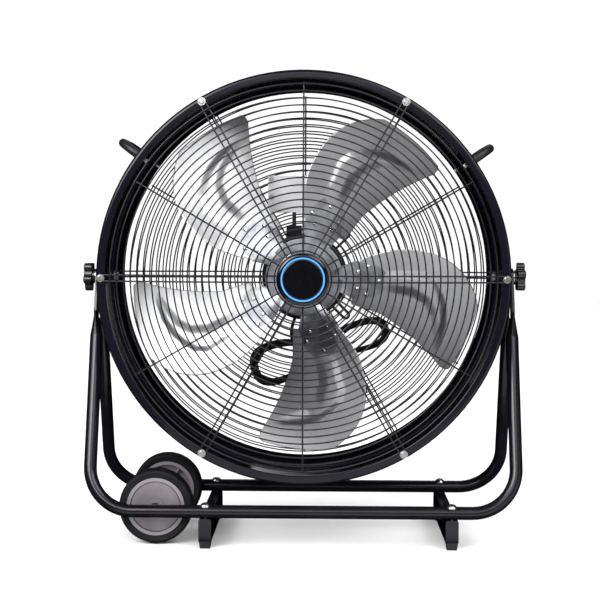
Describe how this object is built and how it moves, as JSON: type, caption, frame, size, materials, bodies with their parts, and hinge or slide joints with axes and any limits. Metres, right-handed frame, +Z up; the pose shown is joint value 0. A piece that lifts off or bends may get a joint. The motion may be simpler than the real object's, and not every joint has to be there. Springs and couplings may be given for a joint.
{
  "type": "drum fan",
  "caption": "Drum fan with wire guards, pitched blades and a motor, tilting between two bent-tube frames on foot channels, with wheels at one corner.",
  "frame": {"origin": "on the floor, straight below the tilt pivots and midway between them", "axes": "+X along the pivots' line to the right as seen from the front, +Z up; the fan blows towards -Y at rest"},
  "size_m": [0.7684, 0.3388, 0.7989],
  "materials": {
    "frame_paint": "gloss black powder coat",
    "drum_paint": "gloss black powder coat",
    "guard_paint": "gloss black dipped wire",
    "motor_paint": "satin black",
    "box_paint": "light grey, satin",
    "zinc": "bright zinc",
    "axle_steel": "plain turned steel",
    "rubber": "moulded",
    "tyre": "moulded",
    "wheel_grey": "moulded grey",
    "spacer_plastic": "moulded black",
    "knob_plastic": "moulded black",
    "badge_grey": "moulded grey",
    "badge_black": "gloss black",
    "badge_blue": "gloss blue",
    "blade_aluminium": "rolled, satin",
    "spider_steel": "pressed, zinc",
    "rivet_aluminium": "set rivets",
    "core_steel": "laminated and turned steel",
    "copper": "enamelled copper",
    "bearing_steel": "ground",
    "cover_plastic": "moulded black",
    "capacitor_can": "drawn can",
    "cord_rubber": "black jacket",
    "tie_plastic": "woven black",
    "pin_brass": "plated"
  },
  "bodies": {
    "stand": {"stand_tube_front": "frame_paint", "stand_tube_rear": "frame_paint", "foot_channel_left": "frame_paint", "foot_channel_right": "frame_paint", "rubber_feet": "rubber", "bracket_bolts": "zinc", "wheel_axle": "axle_steel", "axle_spacers": "axle_steel"},
    "front_wheel": {"front_wheel_rim": "wheel_grey", "front_wheel_tyre": "tyre"},
    "rear_wheel": {"rear_wheel_rim": "wheel_grey", "rear_wheel_tyre": "tyre"},
    "impeller": {"blade_1": "blade_aluminium", "blade_2": "blade_aluminium", "blade_3": "blade_aluminium", "blade_4": "blade_aluminium", "blade_5": "blade_aluminium", "spider": "spider_steel", "blade_rivets": "rivet_aluminium", "rotor": "core_steel"},
    "washer_left": {"clamp_washer_left": "zinc"},
    "washer_right": {"clamp_washer_right": "zinc"},
    "knob_left": {"clamp_knob_left": "knob_plastic"},
    "knob_right": {"clamp_knob_right": "knob_plastic"},
    "speed_knob": {"speed_knob": "knob_plastic"},
    "drum": {"badge_base": "badge_grey", "badge_bezel": "badge_black", "badge_disc": "badge_black", "badge_ring": "badge_blue", "bearings": "bearing_steel", "capacitor": "capacitor_can", "control_box": "box_paint", "control_plate": "box_paint", "cord_hank": "cord_rubber", "cord_lead": "cord_rubber", "cord_tie": "tie_plastic", "drum_shell": "drum_paint", "front_guard_rings": "guard_paint", "front_guard_spokes": "guard_paint", "guard_hub_plate": "guard_paint", "handle_left": "drum_paint", "handle_right": "drum_paint", "handle_screws": "zinc", "motor_bolts": "zinc", "motor_housing_front": "motor_paint", "motor_housing_rear": "motor_paint", "motor_lead": "cord_rubber", "motor_mount": "guard_paint", "pan_screws": "zinc", "pivot_bolts": "zinc", "pivot_spacers": "spacer_plastic", "plug_body": "cord_rubber", "plug_pins": "pin_brass", "rear_guard_rings": "guard_paint", "rear_guard_spokes": "guard_paint", "rotary_switch": "cover_plastic", "stator": "core_steel", "strain_relief": "cord_rubber", "switch_cover": "cover_plastic", "windings": "copper"}
  },
  "joints": [
    {"name": "drum_tilt", "type": "hinge", "parent": "stand", "child": "drum", "pos_m": [0, 0, 0.452], "axis": [1, 0, 0], "range_deg": [-180, 180]},
    {"name": "fan_spin", "type": "hinge", "parent": "drum", "child": "impeller", "pos_m": [0, 0, 0.452], "axis": [0, 1, 0], "continuous": true},
    {"name": "front_wheel_roll", "type": "hinge", "parent": "stand", "child": "front_wheel", "pos_m": [-0.249, 0, 0.0644], "axis": [0, 1, 0], "continuous": true},
    {"name": "rear_wheel_roll", "type": "hinge", "parent": "stand", "child": "rear_wheel", "pos_m": [-0.249, 0, 0.0644], "axis": [0, 1, 0], "continuous": true},
    {"name": "washer_left_travel", "type": "slide", "parent": "drum", "child": "washer_left", "axis": [-1, 0, 0], "range_m": [0, 0.00125]},
    {"name": "washer_right_travel", "type": "slide", "parent": "drum", "child": "washer_right", "axis": [1, 0, 0], "range_m": [0, 0.00125]},
    {"name": "knob_left_turn", "type": "hinge", "parent": "washer_left", "child": "knob_left", "pos_m": [0, 0, 0.452], "axis": [-1, 0, 0], "range_deg": [0, 360]},
    {"name": "knob_right_turn", "type": "hinge", "parent": "washer_right", "child": "knob_right", "pos_m": [0, 0, 0.452], "axis": [1, 0, 0], "range_deg": [0, 360]},
    {"name": "speed_knob_turn", "type": "hinge", "parent": "drum", "child": "speed_knob", "pos_m": [-0.025, 0, 0.5989], "axis": [0, 1, 0], "range_deg": [0, 135]}
  ],
  "couplings": [
    {"joint": "washer_left_travel", "follows": "knob_left_turn", "m_per_rad": 0.00019894},
    {"joint": "washer_right_travel", "follows": "knob_right_turn", "m_per_rad": 0.00019894}
  ]
}
